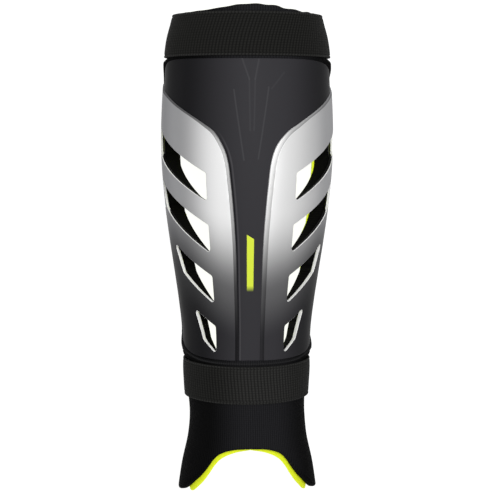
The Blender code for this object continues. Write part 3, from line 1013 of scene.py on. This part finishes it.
def strapRing(along, depth, back, count):
    # One closed ring in X and Z: over the padding, straight down to the height of back and across, its points
    # evenly spaced round it. softRing softens its corners by averaging round the ring.
    angles = np.linspace(-leg["wrap"], leg["wrap"], strap["bendPoints"])
    standOff = strap["standOff"] * ramp(np.abs(angles), *strap["standTurn"])
    front = bend(toArc(angles), np.full(len(angles), along), depth - standOff)[:, [0, 2]]
    fall = [
        end + (end - before) * (end[1] - back) / (before[1] - end[1])
        for end, before in ((front[0], front[1]), (front[-1], front[-2]))
    ]
    ring = np.concatenate([front, [fall[1], fall[0], front[0]]])
    chord = np.append(0, np.cumsum(np.linalg.norm(np.diff(ring, axis=0), axis=1)))
    at = np.linspace(0, chord[-1], count, endpoint=False)
    ring = columns(np.interp(at, chord, ring[:, 0]), np.interp(at, chord, ring[:, 1]))
    return ring, at


def softRing(ring, spacing, back):
    # A Gaussian mean round the ring, weights exp(-(s / soften)^2), then lowered to rest at the height of back
    reach = int(3 * strap["soften"] / spacing)
    offsets = np.arange(-reach, reach + 1)
    weights = np.exp(-(offsets * spacing / strap["soften"]) ** 2)
    soft = sum(w * np.roll(ring, -o, axis=0) for w, o in zip(weights, offsets)) / weights.sum()
    soft[:, 1] = np.maximum(soft[:, 1], back)
    return soft


def makeStrap(name, node, low, high, shine):
    lip, thickness = strap["edgeRound"], strap["thickness"]
    rows = math.ceil((high - low - 2 * lip) / strap["cell"])
    inner = np.linspace(low + lip, high - lip, rows + 1)
    # The profile across the band, as (along, depth from its outer face), with a groove beside each edge
    fine = np.concatenate([low + selvedge["places"], inner[3:-3], high - selvedge["places"][::-1]])
    near = np.minimum(fine - low, high - fine)
    grooves = selvedge["grooveAndShadowLine"] * bump(near, selvedge["groovePlace"], selvedge["grooveWidth"])
    turns = np.linspace(0, np.pi / 2, 4)
    reach, fall = lip * np.sin(turns), lip * (1 - np.cos(turns))
    reach, fall = np.append(reach, reach[::-1]), np.append(fall, thickness - fall[::-1])
    profile = np.concatenate([
        columns(fine, grooves),
        columns(high - lip + reach, fall),
        [(a, thickness) for a in inner[-2:0:-1]],
        columns(low + lip - reach, fall)[::-1],
    ])
    outerDepth = strap["innerDepth"] - thickness
    count = strap["points"]
    places, flats = [], []
    for along, depth in profile:
        ring, at = strapRing(along, outerDepth + depth, depth, count)
        ring = softRing(ring, at[1], depth)
        places.append(columns(ring[:, 0], np.full(count, along - half), ring[:, 1]))
        flats.append(columns(at, np.full(count, along)))
    rings = len(profile)
    number = np.arange(rings * count).reshape(rings, count)
    over, beside = np.roll(number, -1, axis=0), np.roll(number, -1, axis=1)
    both = np.roll(over, -1, axis=1)
    quads = columns(number, beside, both, over).reshape(-1, 4)
    flats = np.concatenate(flats)
    piece = buildMesh(name, np.concatenate(places), np.zeros((0, 3), int), quads, flats)
    near = np.minimum(flats[:, 1] - low, high - flats[:, 1])
    setAttribute(piece, "selvedge", 1 - ramp(near, *selvedge["end"]))
    # A painted highlight on the strap, as strong as shine
    aside = np.abs(np.concatenate(places)[:, 0] - webbing["litPlace"])
    setAttribute(piece, "shine", shine * (1 - ramp(aside, *webbing["litEnd"])))
    piece.data.materials.append(strapWebbing)
    fit(piece, node)


def webbingMaterial():
    material, tree, shader = newMaterial("strapWebbing", webbing)
    colour = mixColour(tree, attributeOutput(tree, "selvedge"), webbing["colour"], webbing["edge"])
    colour = mixColour(tree, attributeOutput(tree, "shine"), colour, webbing["lit"])
    threads(tree, shader, webbing, colour)
    return material


strapWebbing = webbingMaterial()
makeShell()
print("shell made")
makePadding()
makeLining()
print("padding and lining made")
makeStrap("upperStrap", "upper_strap", upperStrapLow, upperStrapHigh, 0.0)
makeStrap("lowerStrap", "lower_strap", lowerStrapLow, lowerStrapHigh, 1.0)
print("straps made")


# Floor, lights and camera

studio = {
    "floorReach": 3.0, "floorDrop": 0.0002, "world": 0.16, "aim": (0, 0, 0.03),
    "keyPower": 13.3, "keySize": 0.7, "keyPlace": (0.18, 0.25, 1.35),
    "fillPower": 2.6, "fillSize": 1.0, "fillPlace": (-0.9, -0.1, 0.9),
}
paleFloor = {
    "colour": (0.20, 0.20, 0.20), "roughness": 0.9, "specular": 0.1, "glow": (1, 1, 1), "glowStrength": 0.96,
}
cameraView = {
    "lens": 95.0, "sensor": 36.0, "distance": 1.009, "target": (-0.0022, 0.008, 0.040),
    "yaw": 3.7, "tilt": 5.9, "roll": 0.12,
}


def makeFloor():
    mesh = bpy.data.meshes.new("floor")
    far, low = studio["floorReach"], -studio["floorDrop"]
    corners = [(x * far, y * far, low) for x, y in ((-1, -1), (1, -1), (1, 1), (-1, 1))]
    mesh.from_pydata(corners, [], [(0, 1, 2, 3)])
    floor = addObject("floor", mesh)
    floor.data.materials.append(newMaterial("paleFloor", paleFloor)[0])


def makeLight(name):
    data = bpy.data.lights.new(name, "AREA")
    data.shape = "SQUARE"
    data.size = studio[name + "Size"]
    data.energy = studio[name + "Power"]
    light = addObject(name, data)
    light.location = studio[name + "Place"]
    light.rotation_euler = (light.location - Vector(studio["aim"])).to_track_quat("Z", "Y").to_euler()


def makeCamera():
    # Away from the target by the distance, turned by yaw about Y and tilt about X, then rolled
    yaw, tilt, roll = (math.radians(cameraView[name]) for name in ("yaw", "tilt", "roll"))
    back = Vector((-math.sin(yaw) * math.cos(tilt), math.sin(tilt), math.cos(yaw) * math.cos(tilt)))
    level = Vector((0, 1, 0)).cross(back).normalized()
    upright = back.cross(level)
    right = level * math.cos(roll) + upright * math.sin(roll)
    up = upright * math.cos(roll) - level * math.sin(roll)
    place = Vector(cameraView["target"]) + back * cameraView["distance"]
    data = bpy.data.cameras.new("camera")
    data.lens = cameraView["lens"]
    data.sensor_width = cameraView["sensor"]
    camera = addObject("camera", data)
    camera.matrix_world = Matrix((
        (right.x, up.x, back.x, place.x), (right.y, up.y, back.y, place.y), (right.z, up.z, back.z, place.z),
        (0, 0, 0, 1),
    ))
    bpy.context.scene.camera = camera


makeFloor()
makeLight("key")
makeLight("fill")
world = bpy.data.worlds.new("studio")
world.use_nodes = True
backdrop = {"Color": (1, 1, 1, 1), "Strength": studio["world"]}
connect(world.node_tree, world.node_tree.nodes["Background"], backdrop)
bpy.context.scene.world = world
bpy.context.scene.view_settings.view_transform = "Standard"
makeCamera()
print("studio made")
